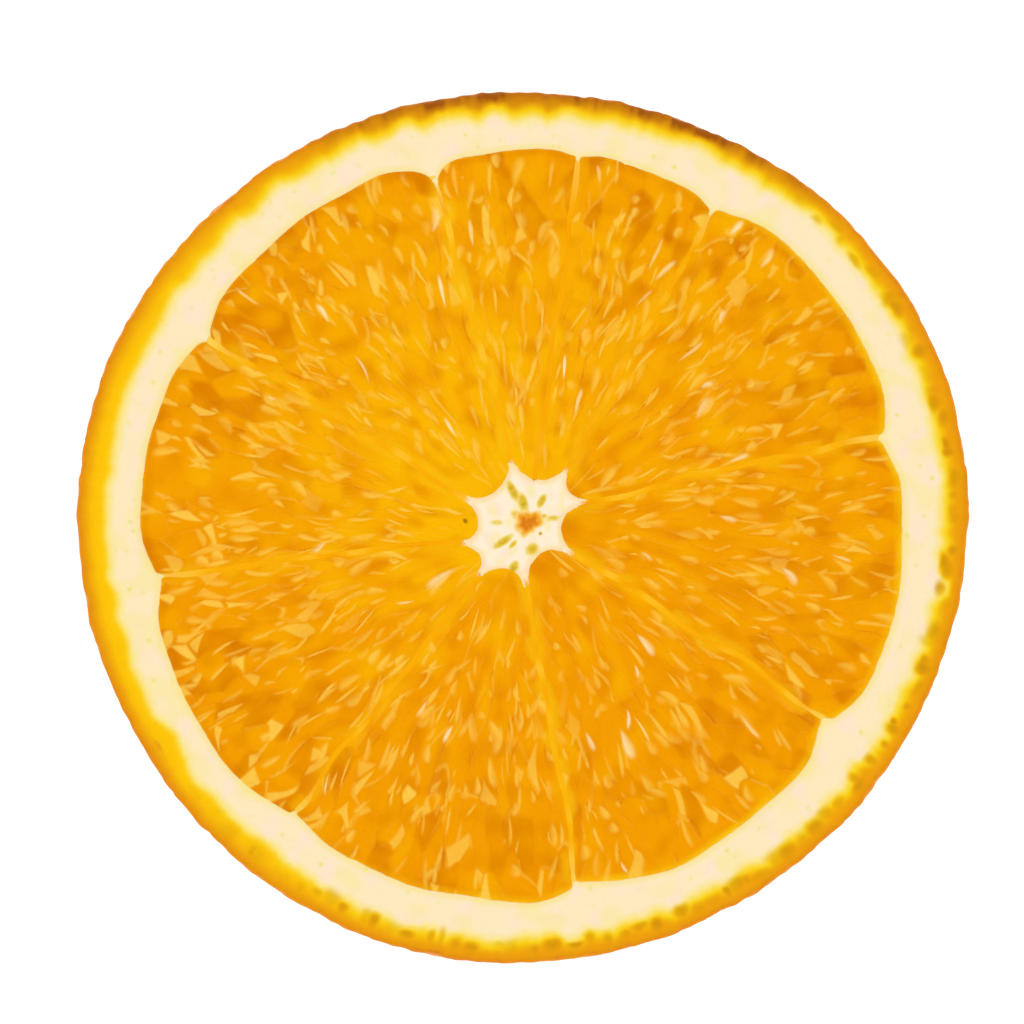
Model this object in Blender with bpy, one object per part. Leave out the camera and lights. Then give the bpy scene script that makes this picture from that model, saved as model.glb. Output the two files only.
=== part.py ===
"""Half of an orange, cut straight across its segments, resting on its uncut end with the cut face up.

Metres, +Z up. The origin is under the middle of the half, on the surface it rests on. The pieces are the
peel, a bowl of skin and white pith; the core, a star-shaped column with one thin membrane for each arm;
and the segments of pulp that fill the space between the membranes. Each is one closed solid.
"""

from math import asin, atan2, cos, exp, pi, radians, sin, tan

import bmesh
import bpy
from mathutils import Vector

# The whole fruit, measured from its axis and from its widest level
FRUIT_RADIUS = 0.03966
FRUIT_HALF_HEIGHT = 0.0388
CUT_HEIGHT = 0.0030  # the knife passes just over the widest level
REST_DEPTH = 0.0007  # how far the flat spot cuts into the lower end

# Slow waves in the outline: how many go round, how high in metres, and the first crest's direction in degrees
OUTLINE_WAVES = ((1, 0.00028, 189), (2, 0.00047, 9), (3, 0.00029, 27), (5, 0.00007, 32))

# The pulp inside the peel
PULP_HALF_HEIGHT = 0.0335
CLEFT_HALF_WIDTH = 0.0017  # half the width of the ridge of pith between two segments
GAP = 0.0003  # clearance between neighbouring pieces
MEMBRANE_THICKNESS = 0.0005
TIP_RADIUS = 0.0062  # where a membrane leaves the core
CLEFT_RADIUS = 0.0330  # where a membrane reaches the peel

# One row for each segment, anticlockwise. The first three values are the directions, in degrees, of the
# membrane on its clockwise side at the core and at the peel, and how deep the pith dips in there. The last
# two are the segment's rounded inner end and its outer end, as distances from the axis. Lengths are in metres.
SEGMENTS = (
    (21, 14, 0.0013, 0.0054, 0.0346),
    (54, 59, 0.0012, 0.0046, 0.0340),
    (80, 82, 0.0006, 0.0046, 0.0340),
    (102, 105, 0.0015, 0.0042, 0.0343),
    (153, 150, 0.0014, 0.0045, 0.0347),
    (193, 188, 0.0013, 0.0050, 0.0343),
    (228, 231, 0.0011, 0.0045, 0.0338),
    (273, 278, 0.0012, 0.0031, 0.0332),
    (331, 327, 0.0013, 0.0036, 0.0340),
)

# How finely the curved surfaces are faceted
MERIDIANS_PER_RADIAN = 10
LEVELS = 28  # from pole to pole
ARC_STEPS = 6  # in a segment's rounded inner end

PEEL_COLOUR = (0.86, 0.30, 0.01)
CORE_COLOUR = (0.93, 0.80, 0.52)
PULP_COLOUR = (0.83, 0.27, 0.01)


def remove_scene_objects():
    for thing in list(bpy.data.objects):
        bpy.data.objects.remove(thing, do_unlink=True)


def new_collection(name):
    collection = bpy.data.collections.new(name)
    bpy.context.scene.collection.children.link(collection)
    return collection


def make_material(name, colour, roughness):
    material = bpy.data.materials.new(name)
    material.use_nodes = True
    shader = material.node_tree.nodes["Principled BSDF"]
    shader.inputs["Base Color"].default_value = (*colour, 1)
    shader.inputs["Roughness"].default_value = roughness
    shader.inputs["Metallic"].default_value = 0
    return material


def polar(radius, angle):
    return Vector((radius * cos(angle), radius * sin(angle)))


def signed_turn(angle):
    """The same angle, between half a turn clockwise and half a turn anticlockwise."""
    return (angle + pi) % (2 * pi) - pi


def segment_after(index):
    return SEGMENTS[(index + 1) % len(SEGMENTS)]


def segment_span(index):
    """The directions of a segment's two membranes at the peel, the second more than the first."""
    start = radians(SEGMENTS[index][1])
    end = radians(segment_after(index)[1])
    return start, end if end > start else end + 2 * pi


def meridian_angles():
    """Directions for the facets' edges, closer together near each membrane."""
    angles = []
    for index in range(len(SEGMENTS)):
        start, end = segment_span(index)
        steps = round((end - start) * MERIDIANS_PER_RADIAN)
        for k in range(steps):
            eased = (1 - cos(pi * k / steps)) / 2
            angles.append(start + (end - start) * eased)
    return angles


def fruit_radius(angle):
    waves = sum(height * cos(count * (angle - radians(crest))) for count, height, crest in OUTLINE_WAVES)
    return FRUIT_RADIUS + waves


def pulp_radius(angle):
    """How far the pulp reaches, with a dip at each membrane and an even change from segment to segment there."""
    reach = 0
    dip = 0
    for index, (_, cleft, cleft_depth, _, segment_reach) in enumerate(SEGMENTS):
        start, end = segment_span(index)
        blend = CLEFT_HALF_WIDTH / segment_reach
        past_start = signed_turn(angle - (start + end) / 2) + (end - start) / 2
        before_end = (end - start) / 2 - signed_turn(angle - (start + end) / 2)
        inside = min(past_start, before_end) / blend
        reach += segment_reach * min(max((inside + 1) / 2, 0), 1)
        away = segment_reach * signed_turn(angle - radians(cleft)) / CLEFT_HALF_WIDTH
        dip += cleft_depth * exp(-away * away)
    return reach - dip


def rounded_body(name, radius_at, half_height, collection):
    """A closed ball whose radius follows a function of the direction, with its middle at the origin."""
    angles = meridian_angles()
    shape = bmesh.new()
    bmesh.ops.create_uvsphere(shape, u_segments=len(angles), v_segments=LEVELS, radius=1)
    step = 2 * pi / len(angles)
    for vertex in shape.verts:
        angle = angles[round(atan2(vertex.co.y, vertex.co.x) / step) % len(angles)]
        level = asin(max(-1, min(1, vertex.co.z)))
        flat = polar(radius_at(angle) * cos(level), angle)
        vertex.co = (flat.x, flat.y, half_height * sin(level))
    return new_object(name, shape, collection)


def new_object(name, shape, collection):
    bmesh.ops.recalc_face_normals(shape, faces=shape.faces)
    mesh = bpy.data.meshes.new(name)
    shape.to_mesh(mesh)
    shape.free()
    thing = bpy.data.objects.new(name, mesh)
    collection.objects.link(thing)
    return thing


def cut_level(thing, height, keep_below):
    """Cuts a body level at a height and closes it with a flat face."""
    shape = bmesh.new()
    shape.from_mesh(thing.data)
    cut = bmesh.ops.bisect_plane(
        shape,
        geom=shape.verts[:] + shape.edges[:] + shape.faces[:],
        dist=1e-6,
        plane_co=(0, 0, height),
        plane_no=(0, 0, 1),
        clear_outer=keep_below,
        clear_inner=not keep_below,
    )
    rim = [part for part in cut["geom_cut"] if isinstance(part, bmesh.types.BMEdge)]
    bmesh.ops.edgeloop_fill(shape, edges=rim)
    bmesh.ops.recalc_face_normals(shape, faces=shape.faces)
    shape.to_mesh(thing.data)
    shape.free()


def prism(name, outline, low, high, collection):
    """A flat outline, anticlockwise, pulled up from one level to another."""
    shape = bmesh.new()
    base = shape.faces.new([shape.verts.new((point.x, point.y, low)) for point in outline])
    pulled = bmesh.ops.extrude_face_region(shape, geom=[base])
    top = [part for part in pulled["geom"] if isinstance(part, bmesh.types.BMVert)]
    bmesh.ops.translate(shape, verts=top, vec=(0, 0, high - low))
    return new_object(name, shape, collection)


def add_boolean(thing, operation, cutter):
    modifier = thing.modifiers.new(operation.title(), "BOOLEAN")
    modifier.operation = operation
    modifier.solver = "EXACT"
    modifier.object = cutter


def membrane_line(index, offset):
    """A point at the core and a direction along a membrane, both moved sideways, anticlockwise if positive."""
    core_angle, peel_angle = SEGMENTS[index % len(SEGMENTS)][:2]
    start = polar(TIP_RADIUS, radians(core_angle))
    end = polar(CLEFT_RADIUS, radians(peel_angle))
    along = (end - start).normalized()
    across = Vector((-along.y, along.x))
    return start + across * offset, along


def crossing(first, along_first, second, along_second):
    """Where two lines cross, each given by a point and a direction."""
    between = second - first
    turn = along_first.cross(along_second)
    return first + along_first * (between.cross(along_second) / turn)


def inner_end(index):
    """The centre, radius, direction and half sweep of the arc that rounds a segment's inner end."""
    half = MEMBRANE_THICKNESS / 2 + GAP
    right, along_right = membrane_line(index, half)
    left, along_left = membrane_line(index + 1, -half)
    apex = crossing(right, along_right, left, along_left)
    middle = (along_right + along_left).normalized()
    half_angle = along_right.angle(along_left) / 2
    lobe = SEGMENTS[index][3]
    radius = (lobe - apex.dot(middle)) / (1 / sin(half_angle) - 1)
    centre = apex + middle * (radius / sin(half_angle))
    return centre, radius, atan2(middle.y, middle.x), pi / 2 - half_angle


def inner_arc(index, extra):
    """Points round a segment's inner end, clockwise about the segment's own middle, made larger by extra."""
    centre, radius, facing, half_sweep = inner_end(index)
    points = []
    for k in range(ARC_STEPS + 1):
        turn = half_sweep * (2 * k / ARC_STEPS - 1)
        points.append(centre + polar(radius + extra, facing + pi + turn))
    return points


def segment_outline(index):
    """A wedge between two membranes with a round inner end, running on past the pulp's edge."""
    half = MEMBRANE_THICKNESS / 2 + GAP
    right, along_right = membrane_line(index, half)
    left, along_left = membrane_line(index + 1, -half)
    return inner_arc(index, 0) + [right + along_right * FRUIT_RADIUS, left + along_left * FRUIT_RADIUS]


def core_outline():
    """A star whose arms are the membranes, running on past the pulp's edge, with a hollow for each segment."""
    outline = []
    half = MEMBRANE_THICKNESS / 2
    for index in range(len(SEGMENTS)):
        for offset in (-half, half):
            start, along = membrane_line(index, offset)
            outline.append(start + along * FRUIT_RADIUS)
        outline += reversed(inner_arc(index, GAP))
    return outline


def make_peel(cutters, parts):
    peel = rounded_body("peel", fruit_radius, FRUIT_HALF_HEIGHT, parts)
    cut_level(peel, CUT_HEIGHT, keep_below=True)
    cut_level(peel, REST_DEPTH - FRUIT_HALF_HEIGHT, keep_below=False)
    cavity = rounded_body("peel_cavity", lambda angle: pulp_radius(angle) + GAP, PULP_HALF_HEIGHT + GAP, cutters)
    add_boolean(peel, "DIFFERENCE", cavity)
    return peel


def make_core(pulp, parts):
    core = prism("core", core_outline(), -FRUIT_HALF_HEIGHT, CUT_HEIGHT, parts)
    add_boolean(core, "INTERSECT", pulp)
    return core


def make_segment(index, pulp, parts):
    segment = prism(f"segment_{index + 1}", segment_outline(index), -FRUIT_HALF_HEIGHT, CUT_HEIGHT, parts)
    add_boolean(segment, "INTERSECT", pulp)
    return segment


def place_on_origin(peel, things):
    """Moves everything so that the flat spot is at zero and the peel's outline is centred on the origin."""
    xs = [vertex.co.x for vertex in peel.data.vertices]
    ys = [vertex.co.y for vertex in peel.data.vertices]
    middle = Vector((-(min(xs) + max(xs)) / 2, -(min(ys) + max(ys)) / 2, FRUIT_HALF_HEIGHT - REST_DEPTH))
    for thing in things:
        thing.location = middle


def finish(thing, material):
    thing.data.shade_smooth()
    thing.data.set_sharp_from_angle(angle=radians(35))
    thing.data.materials.append(material)


def main():
    remove_scene_objects()
    parts = new_collection("orange_half")
    cutters = new_collection("cutters")
    pulp = rounded_body("pulp_outside", pulp_radius, PULP_HALF_HEIGHT, cutters)
    peel = make_peel(cutters, parts)
    core = make_core(pulp, parts)
    segments = [make_segment(index, pulp, parts) for index in range(len(SEGMENTS))]
    place_on_origin(peel, [peel, core, *segments, *cutters.objects])
    finish(peel, make_material("peel", PEEL_COLOUR, 0.45))
    finish(core, make_material("core", CORE_COLOUR, 0.7))
    for segment in segments:
        finish(segment, make_material(segment.name, PULP_COLOUR, 0.3))
    for cutter in cutters.objects:
        cutter.hide_render = True
        cutter.display_type = "WIRE"


main()
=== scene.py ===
import math

import bmesh
import bpy
import numpy as np
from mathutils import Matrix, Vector
from mathutils.kdtree import KDTree


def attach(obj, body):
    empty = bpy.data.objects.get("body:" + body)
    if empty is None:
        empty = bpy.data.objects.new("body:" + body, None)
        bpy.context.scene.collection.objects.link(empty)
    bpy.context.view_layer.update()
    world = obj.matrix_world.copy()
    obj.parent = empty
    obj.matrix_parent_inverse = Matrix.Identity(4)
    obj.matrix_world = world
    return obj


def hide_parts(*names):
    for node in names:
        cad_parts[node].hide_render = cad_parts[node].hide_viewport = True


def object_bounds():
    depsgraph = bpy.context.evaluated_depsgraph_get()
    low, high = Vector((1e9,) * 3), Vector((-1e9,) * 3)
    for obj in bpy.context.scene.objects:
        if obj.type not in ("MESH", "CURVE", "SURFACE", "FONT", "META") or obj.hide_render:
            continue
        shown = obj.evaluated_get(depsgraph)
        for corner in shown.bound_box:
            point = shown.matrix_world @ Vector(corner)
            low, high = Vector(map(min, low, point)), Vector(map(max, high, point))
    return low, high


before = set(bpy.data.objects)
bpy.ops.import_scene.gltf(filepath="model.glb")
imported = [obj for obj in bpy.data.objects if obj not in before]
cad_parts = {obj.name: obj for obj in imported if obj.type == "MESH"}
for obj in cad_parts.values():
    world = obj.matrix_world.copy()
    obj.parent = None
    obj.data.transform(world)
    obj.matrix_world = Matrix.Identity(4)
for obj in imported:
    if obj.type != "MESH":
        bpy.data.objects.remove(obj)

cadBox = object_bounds()
mm = 0.001

# The cut fruit. The knife passed a little over its widest level, and it rests on a small flat spot.
fruit = {
    "cutAboveMiddle": 3.0 * mm,
    "flatDepth": 0.7 * mm,
    "outlineWaves": 6,  # slow waves kept from the rim of the cut
    "gap": 0.3 * mm,  # clearance between the solids, which the pulp grows over
    "sideGrowth": 0.1 * mm,  # and how far it grows over the membranes themselves
    "pulpDepth": 33.3 * mm,  # from the widest level down to the lowest pulp
    "pulpWidth": 0.868,  # of the fruit's, at its widest level
    "thinnest": 3.0 * mm,  # the least depth of pulp, core or membrane under the cut
    "corners": (0.7, 0.5, 0.4, 1.3, 0.9, 0.4, 0.4, 0.6, 0.6),  # mm, rounding beside each membrane's end
    "thickSide": 80.0,  # degrees, the side on which the pith is thickest
    "thicker": 0.55 * mm,
    "sharedLobe": (2, 3),  # two narrow segments whose inner ends touch and make one round end
    "sway": 0.22 * mm,  # how far the cut lines wander
    "swayLength": 9.0 * mm,
    "coreShift": (-0.06 * mm, -0.24 * mm),
}

studio = {
    "lens": 135,
    "frameWidth": 91.4 * mm,  # what the camera takes in across the level of the cut
    "cameraAside": (-0.94 * mm, 1.40 * mm),  # it stands a little up and left of the middle
    "floorSize": 24.0,
    "floorTone": 0.5,
    "floorDrop": 0.02 * mm,  # keeps the floor clear of the fruit's flat spot
    "floorGlow": 0.68,  # keeps the floor white beside the fruit
    "floorGloss": (1.5, 0.1, (255, 255, 255)),
    "keyHeight": 0.42,
    "keyDistance": 0.62,
    "keySize": 0.45,
    "keyWatts": 1.6,
    "keys": 5,
    "horizon": 1.08,
    "zenith": 0.08,
}


def tint(red, green, blue):  # a colour as seen on a screen, 0 to 255, on the renderer's own scale
    shares = [value / 255 for value in (red, green, blue)]
    return (*[s / 12.92 if s <= 0.04045 else ((s + 0.055) / 1.055) ** 2.4 for s in shares], 1.0)


def ease(low, high, value):  # 0 at low, 1 at high, eased between them
    share = np.clip((value - low) / (high - low), 0, 1)
    return share * share * (3 - 2 * share)


def fadedTo(value, low, high):  # 1 at low, 0 at high
    return 1 - ease(low, high, value)


def aimed(radius, angle):  # flat points this far out in this direction
    return np.stack([radius * np.cos(angle), radius * np.sin(angle)], -1)


def towards(angle, degrees):  # 1 in this direction, -1 in the opposite one
    return np.cos(angle - np.radians(degrees))


def ripple(points, wavelength, seed, count=16):  # soft random ups and downs, about -1 to 1
    random = np.random.default_rng(seed)
    turns = random.normal(size=(count, points.shape[1]))
    turns /= np.linalg.norm(turns, axis=1)[:, None]
    turns *= 2 * np.pi / wavelength * random.uniform(0.7, 1.4, (count, 1))
    starts = random.uniform(0, 2 * np.pi, count)
    return np.cos(points @ turns.T + starts).sum(1) / math.sqrt(count)


class Wire:  # one output of a node; sums on it add Math nodes
    def __init__(self, finish, socket):
        self.finish = finish
        self.socket = socket

    def sum(self, operation, first, second):
        return self.finish.node("ShaderNodeMath", {"operation": operation}, {0: first, 1: second})

    def __add__(self, other):
        return self.sum("ADD", self, other)

    def __radd__(self, other):
        return self.sum("ADD", other, self)

    def __sub__(self, other):
        return self.sum("SUBTRACT", self, other)

    def __rsub__(self, other):
        return self.sum("SUBTRACT", other, self)

    def __mul__(self, other):
        return self.sum("MULTIPLY", self, other)

    def __rmul__(self, other):
        return self.sum("MULTIPLY", other, self)


class Finish:  # a new material, or the sky, while it is wired up
    def __init__(self, name, world=None):
        owner = world or bpy.data.materials.new(name)
        owner.use_nodes = True
        self.owner = owner
        self.tree = owner.node_tree
        self.tree.nodes.clear()

    def node(self, kind, settings, inputs, output=0):
        made = self.tree.nodes.new(kind)
        for name, value in settings.items():
            if name == "stops":
                self.setStops(made.color_ramp, value)
            else:
                setattr(made, name, value)
        for name, value in inputs.items():
            if isinstance(value, Wire):
                self.tree.links.new(value.socket, made.inputs[name])
            else:
                made.inputs[name].default_value = value
        return Wire(self, made.outputs[output]) if made.outputs else None

    def setStops(self, ramp, stops):
        while len(ramp.elements) < len(stops):
            ramp.elements.new(1)
        for element, (place, colour) in zip(ramp.elements, stops):
            element.position = place
            element.color = colour

    def blend(self, share, first, second):  # two colours
        return self.node("ShaderNodeMix", {"data_type": "RGBA"}, {0: share, 6: first, 7: second}, output=2)

    def coats(self, colour, palette, layers):
        # Lays more colours over one. Each has a mask, painted on the mesh or wired, and a strength.
        for mask, strength, name in layers:
            share = self.painted(mask) if isinstance(mask, str) else mask
            colour = self.blend(share * strength, colour, tint(*palette[name]))
        return colour

    def band(self, value, low, high):  # 0 where a value is at low, 1 where it is at high
        return self.node("ShaderNodeMapRange", {"interpolation_type": "SMOOTHSTEP"},
                         {"Value": value, "From Min": low, "From Max": high})

    def painted(self, name):  # a value stored on the mesh
        return self.node("ShaderNodeAttribute", {"attribute_name": name}, {}, output=2)

    def grain(self, size, detail=2):  # noise, 0 to 1, with blotches about this size
        place = self.node("ShaderNodeTexCoord", {}, {}, output=3)
        return self.node("ShaderNodeTexNoise", {}, {"Vector": place, "Scale": 0.5 / size, "Detail": detail})

    def surface(self, colour, roughness, height, depth, gloss, glow={}):
        # Gloss is the index of refraction, the strength of reflections and their colour.
        normal = self.node("ShaderNodeBump", {}, {"Height": height, "Distance": depth})
        index, level, shine = gloss
        inputs = {"Base Color": colour, "Roughness": roughness, "Normal": normal, "IOR": index,
                  "Specular IOR Level": level, "Specular Tint": tint(*shine), **glow}
        shader = self.node("ShaderNodeBsdfPrincipled", {}, inputs)
        self.node("ShaderNodeOutputMaterial", {}, {"Surface": shader})
        return self.owner


def placesOf(mesh):
    places = np.empty(len(mesh.vertices) * 3, np.float32)
    mesh.vertices.foreach_get("co", places)
    return places.reshape(-1, 3).astype(float)


def shown(name, data):  # an object in the scene
    thing = bpy.data.objects.new(name, data)
    bpy.context.scene.collection.objects.link(thing)
    return thing


def makePiece(name, shape, place, material, nodes):
    # Turns a closed shape made in unit space into the piece: place takes its points and gives
    # back where they belong and the values to paint on them.
    mesh = bpy.data.meshes.new(name)
    shape.to_mesh(mesh)
    shape.free()
    points, paint = place(placesOf(mesh))
    mesh.vertices.foreach_set("co", points.astype(np.float32).ravel())
    for label, values in paint.items():
        mesh.attributes.new(label, "FLOAT", "POINT").data.foreach_set("value", values.astype(np.float32))
    mesh.update()
    check = bmesh.new()
    check.from_mesh(mesh)
    if check.calc_volume(signed=True) < 0:
        mesh.flip_normals()
    check.free()
    mesh.shade_smooth()
    mesh.materials.append(material)
    piece = shown(name, mesh)
    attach(piece, "root")
    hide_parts(*nodes)
    print("made", name, "with", sum(len(face.vertices) - 2 for face in mesh.polygons), "triangles")


def addRow(shape, rim):  # a new row of faces along an edge loop; gives its far corners and edges
    grown = bmesh.ops.extrude_edge_only(shape, edges=rim)["geom"]
    corners = [part for part in grown if isinstance(part, bmesh.types.BMVert)]
    return corners, [part for part in grown if isinstance(part, bmesh.types.BMEdge)]


def pillow(across, along, underSteps):
    # A closed unit block: a fine grid on top, x and y from -1 to 1 at z 0, and under it rings
    # that close in on the middle, at z -1.
    shape = bmesh.new()
    bmesh.ops.create_grid(shape, x_segments=across, y_segments=along, size=1)
    rim = [edge for edge in shape.edges if edge.is_boundary]
    for step in range(underSteps + 1):
        corners, rim = addRow(shape, rim)
        if step == 0:
            bmesh.ops.translate(shape, verts=corners, vec=(0, 0, -1))
        else:
            shrink = (underSteps - step) / (underSteps - step + 1)
            bmesh.ops.scale(shape, verts=corners, vec=(shrink, shrink, 1))
    bmesh.ops.remove_doubles(shape, verts=corners, dist=1e-4)
    bmesh.ops.recalc_face_normals(shape, faces=shape.faces)
    return shape


def hoop(steps, rows):
    # A closed ring: circles of radius 1 at z 0, 1, 2 and so on, the last joined back to the first.
    shape = bmesh.new()
    bmesh.ops.create_circle(shape, segments=steps, radius=1)
    first = shape.edges[:]
    rim = first
    for _ in range(rows - 1):
        corners, rim = addRow(shape, rim)
        bmesh.ops.translate(shape, verts=corners, vec=(0, 0, 1))
    bmesh.ops.bridge_loops(shape, edges=first + rim)
    bmesh.ops.recalc_face_normals(shape, faces=shape.faces)
    return shape


def topRim(node):  # the corners of a node's cut face, seen from above
    places = placesOf(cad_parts[node].data)
    top = places[places[:, 2] > places[:, 2].max() - 0.01 * mm]
    return np.unique(np.round(top[:, :2], 7), axis=0)


def readFruit():
    places = placesOf(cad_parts["peel"].data)
    foot = places[places[:, 2] < 0.01 * mm]
    axis = (foot[:, :2].min(0) + foot[:, :2].max(0)) / 2
    top = cadBox[1][2]
    middle = top - fruit["cutAboveMiddle"]
    rim = topRim("peel") - axis
    far = np.hypot(*rim.T)
    outer = rim[far > far.mean()]
    angles = np.arctan2(outer[:, 1], outer[:, 0])
    order = np.argsort(angles)
    evenly = np.linspace(-np.pi, np.pi, 720, endpoint=False)
    radii = np.interp(evenly, angles[order], np.hypot(*outer[order].T), period=2 * np.pi)
    waves = np.fft.rfft(radii)[: fruit["outlineWaves"]] / len(radii)
    waves[1:] *= 2
    half = middle + fruit["flatDepth"]
    widest = 1 / math.sqrt(1 - (fruit["cutAboveMiddle"] / half) ** 2)
    return {"axis": axis, "top": top, "middle": middle, "half": half, "waves": waves, "widest": widest}


whole = readFruit()


def rimRadius(angle):  # the fruit's radius at the level of the cut
    turns = np.exp(1j * np.outer(np.ravel(angle) + np.pi, np.arange(len(whole["waves"]))))
    return (turns @ whole["waves"]).real


def swayed(flat):  # lets the cut lines wander a little, and less towards the rim
    far = np.hypot(*flat.T)
    loose = fadedTo(far, 31 * mm, 37 * mm) * fruit["sway"]
    shift = [ripple(flat, fruit["swayLength"], seed) * loose for seed in (11, 12)]
    return flat + np.stack(shift, 1) + fadedTo(far, 6 * mm, 14 * mm)[:, None] * fruit["coreShift"]


def splitAlong(x, y, angle):  # how far places lie along a direction, and aside of it
    return x * np.cos(angle) + y * np.sin(angle), y * np.cos(angle) - x * np.sin(angle)


def turned(points, angle):
    return np.stack(splitAlong(*points.T, angle), 1)


def crossing(first, alongFirst, second, alongSecond):  # where two lines cross
    turn = alongFirst[0] * alongSecond[1] - alongFirst[1] * alongSecond[0]
    x, y = second - first
    return first + alongFirst * (x * alongSecond[1] - y * alongSecond[0]) / turn


def readSegment(index):
    # The two longest sides of a segment's cut face run along its membranes and cross at the
    # wedge's point. The rest of its outline is a round inner end and an outer arc.
    rim = topRim(f"segment_{index + 1}") - whole["axis"]
    rim = rim[np.argsort(np.arctan2(*(rim - rim.mean(0)).T[::-1]))]
    ahead = np.roll(rim, -1, axis=0)
    lengths = np.hypot(*(ahead - rim).T)
    lines = []
    for side in np.argsort(lengths)[-2:]:
        near, far = sorted((rim[side], ahead[side]), key=lambda end: np.hypot(*end))
        lines.append((near, (far - near) / lengths[side]))
    if lines[0][1][0] * lines[1][1][1] < lines[0][1][1] * lines[1][1][0]:
        lines.reverse()
    (right, alongRight), (left, alongLeft) = lines
    facing = (alongRight + alongLeft) / np.hypot(*(alongRight + alongLeft))
    half = math.acos(alongRight @ alongLeft) / 2
    apex = crossing(right, alongRight, left, alongLeft)
    grown = fruit["gap"] + fruit["sideGrowth"]
    radius = np.hypot(*(right - apex)) * math.tan(half) + grown
    apex = apex - facing * grown / math.sin(half)
    direction = math.atan2(facing[1], facing[0])
    local = turned(rim - apex, direction)
    reach = np.hypot(*local.T)
    outer = local[reach > reach.mean()]
    spread = np.arctan2(outer[:, 1], outer[:, 0])
    order = np.argsort(spread)
    evenly = np.linspace(-half, half, 121)
    arc = np.interp(evenly, spread[order], np.hypot(*outer[order].T)) + fruit["gap"]
    window = np.hanning(25)
    arc = np.convolve(np.pad(arc, 12, "edge"), window / window.sum(), "valid")
    arc -= fruit["thicker"] * (0.5 + 0.5 * towards(direction + evenly, fruit["thickSide"]))
    return {"apex": apex, "facing": direction, "half": half, "radius": radius,
            "centre": np.array([radius / math.sin(half), 0]), "spread": evenly, "arc": arc,
            "corners": [fruit["corners"][(index + side) % len(fruit["corners"])] * mm for side in (0, 1)]}


segmentCount = len([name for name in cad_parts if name.startswith("segment_")])
segments = [readSegment(index) for index in range(segmentCount)]


def shareLobe():  # gives the two segments the circle that rounds off their common wedge
    right, left = (segments[number - 1] for number in fruit["sharedLobe"])
    low, high = right["facing"] - right["half"], left["facing"] + left["half"]
    half = (high - low) / 2
    facing = (high + low) / 2
    apex = crossing(right["apex"], aimed(1, low), left["apex"], aimed(1, high))
    ahead = aimed(1, facing)
    nearest = min((segment["apex"] + aimed(segment["centre"][0] - segment["radius"], segment["facing"])
                   - apex) @ ahead for segment in (right, left))
    radius = nearest * math.sin(half) / (1 - math.sin(half))
    middle = apex + ahead * radius / math.sin(half)
    for segment in (right, left):
        segment["radius"] = radius
        segment["centre"] = turned((middle - segment["apex"])[None, :], segment["facing"])[0]


shareLobe()


def innerReach(segment, spread):  # from the wedge's point to the round inner end
    ahead, aside = splitAlong(*segment["centre"], spread)
    return ahead - np.sqrt(np.maximum(segment["radius"] ** 2 - aside**2, 0))


def outerReach(segment, spread):  # to the outer arc, whose corners are round
    reach = np.interp(spread, segment["spread"], segment["arc"])
    corner = np.where(spread < 0, *segment["corners"])
    aside = np.clip(reach * np.sin(segment["half"] - np.abs(spread)), 0, corner)
    return reach - corner + np.sqrt(corner**2 - (corner - aside) ** 2)


def depthInSegment(segment, flat, widened=0.0):  # how far points lie inside its outline, or under 0 outside
    x, y = turned(flat - segment["apex"], segment["facing"]).T
    half = segment["half"]
    side = x * math.sin(half) - np.abs(y) * math.cos(half) + widened
    lobe = segment["radius"] - np.hypot(x - segment["centre"][0], y - segment["centre"][1]) + widened * 0.3
    foot = segment["centre"][0] * math.cos(half) + np.sign(y) * segment["centre"][1] * math.sin(half)
    lobe = np.where(x * math.cos(half) + np.abs(y) * math.sin(half) < foot, np.minimum(lobe, side), side)
    outer = outerReach(segment, np.arctan2(y, x)) - np.hypot(x, y)
    return np.minimum(lobe, outer)


def depthInPulp(flat, widened=0.0):  # widened, the segments meet over the membranes between them
    return np.max([depthInSegment(segment, flat, widened) for segment in segments], axis=0)


def floorUnder(flat, grown=0.0):  # the underside of the pulp, or of what lies this far outside it
    share = np.hypot(*flat.T) / (rimRadius(np.arctan2(flat[:, 1], flat[:, 0])) * fruit["pulpWidth"] + grown)
    return whole["middle"] - (fruit["pulpDepth"] + grown) * np.sqrt(np.clip(1 - share**2, 0, 1))


def raised(flat, level, under=False):  # places on the cut, back in the frame; some lie on the underside
    level = np.where(under, np.minimum(floorUnder(flat), whole["top"] - fruit["thinnest"]), level)
    return np.column_stack([swayed(flat) + whole["axis"], level])


skin = {
    "lumps": 0.12 * mm,
    "lumpLength": 5.5 * mm,
    "pitSpacing": 1.30 * mm,
    "pitDepth": 0.15 * mm,
    "pitRadius": 0.60 * mm,
    "inset": 0.16 * mm,  # keeps the highest lumps inside the box
    "shoulder": 0.35 * mm,  # the rounded edge of the cut
    "thickness": 1.2 * mm,
    "seamAngle": 55.0,  # degrees up from the underside, where the two skin pieces meet
    "rimSeam": 1.5 * mm,  # how far under the cut the side meets the piece with the cut edge
    "overlap": 1.0 * mm,  # how far a piece goes on past their seam
    "tuck": 0.05,  # and how fast it slips under the other one there
    "lip": 0.6 * mm,  # how far under the cut the side's wall turns back down
    "lipRows": 8,
    "flowerScar": (1.0 * mm, 2.6 * mm),  # radius of its middle and of its edge
    "russetSide": 84.0,  # degrees, where the rim is brown
    "russetLevels": (34 * mm, 40.5 * mm),  # none at the first, all of it at the second
    "lowerGrid": 300,
    "ringSteps": 880,
    "upperRows": 102,
    "gloss": (1.42, 0.26, (255, 200, 110)),
    "orange": (222, 128, 0),
    "bright": (232, 148, 2),
    "pit": (204, 108, 0),
    "russet": (190, 104, 20),
    "scar": (150, 104, 52),
}


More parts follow.
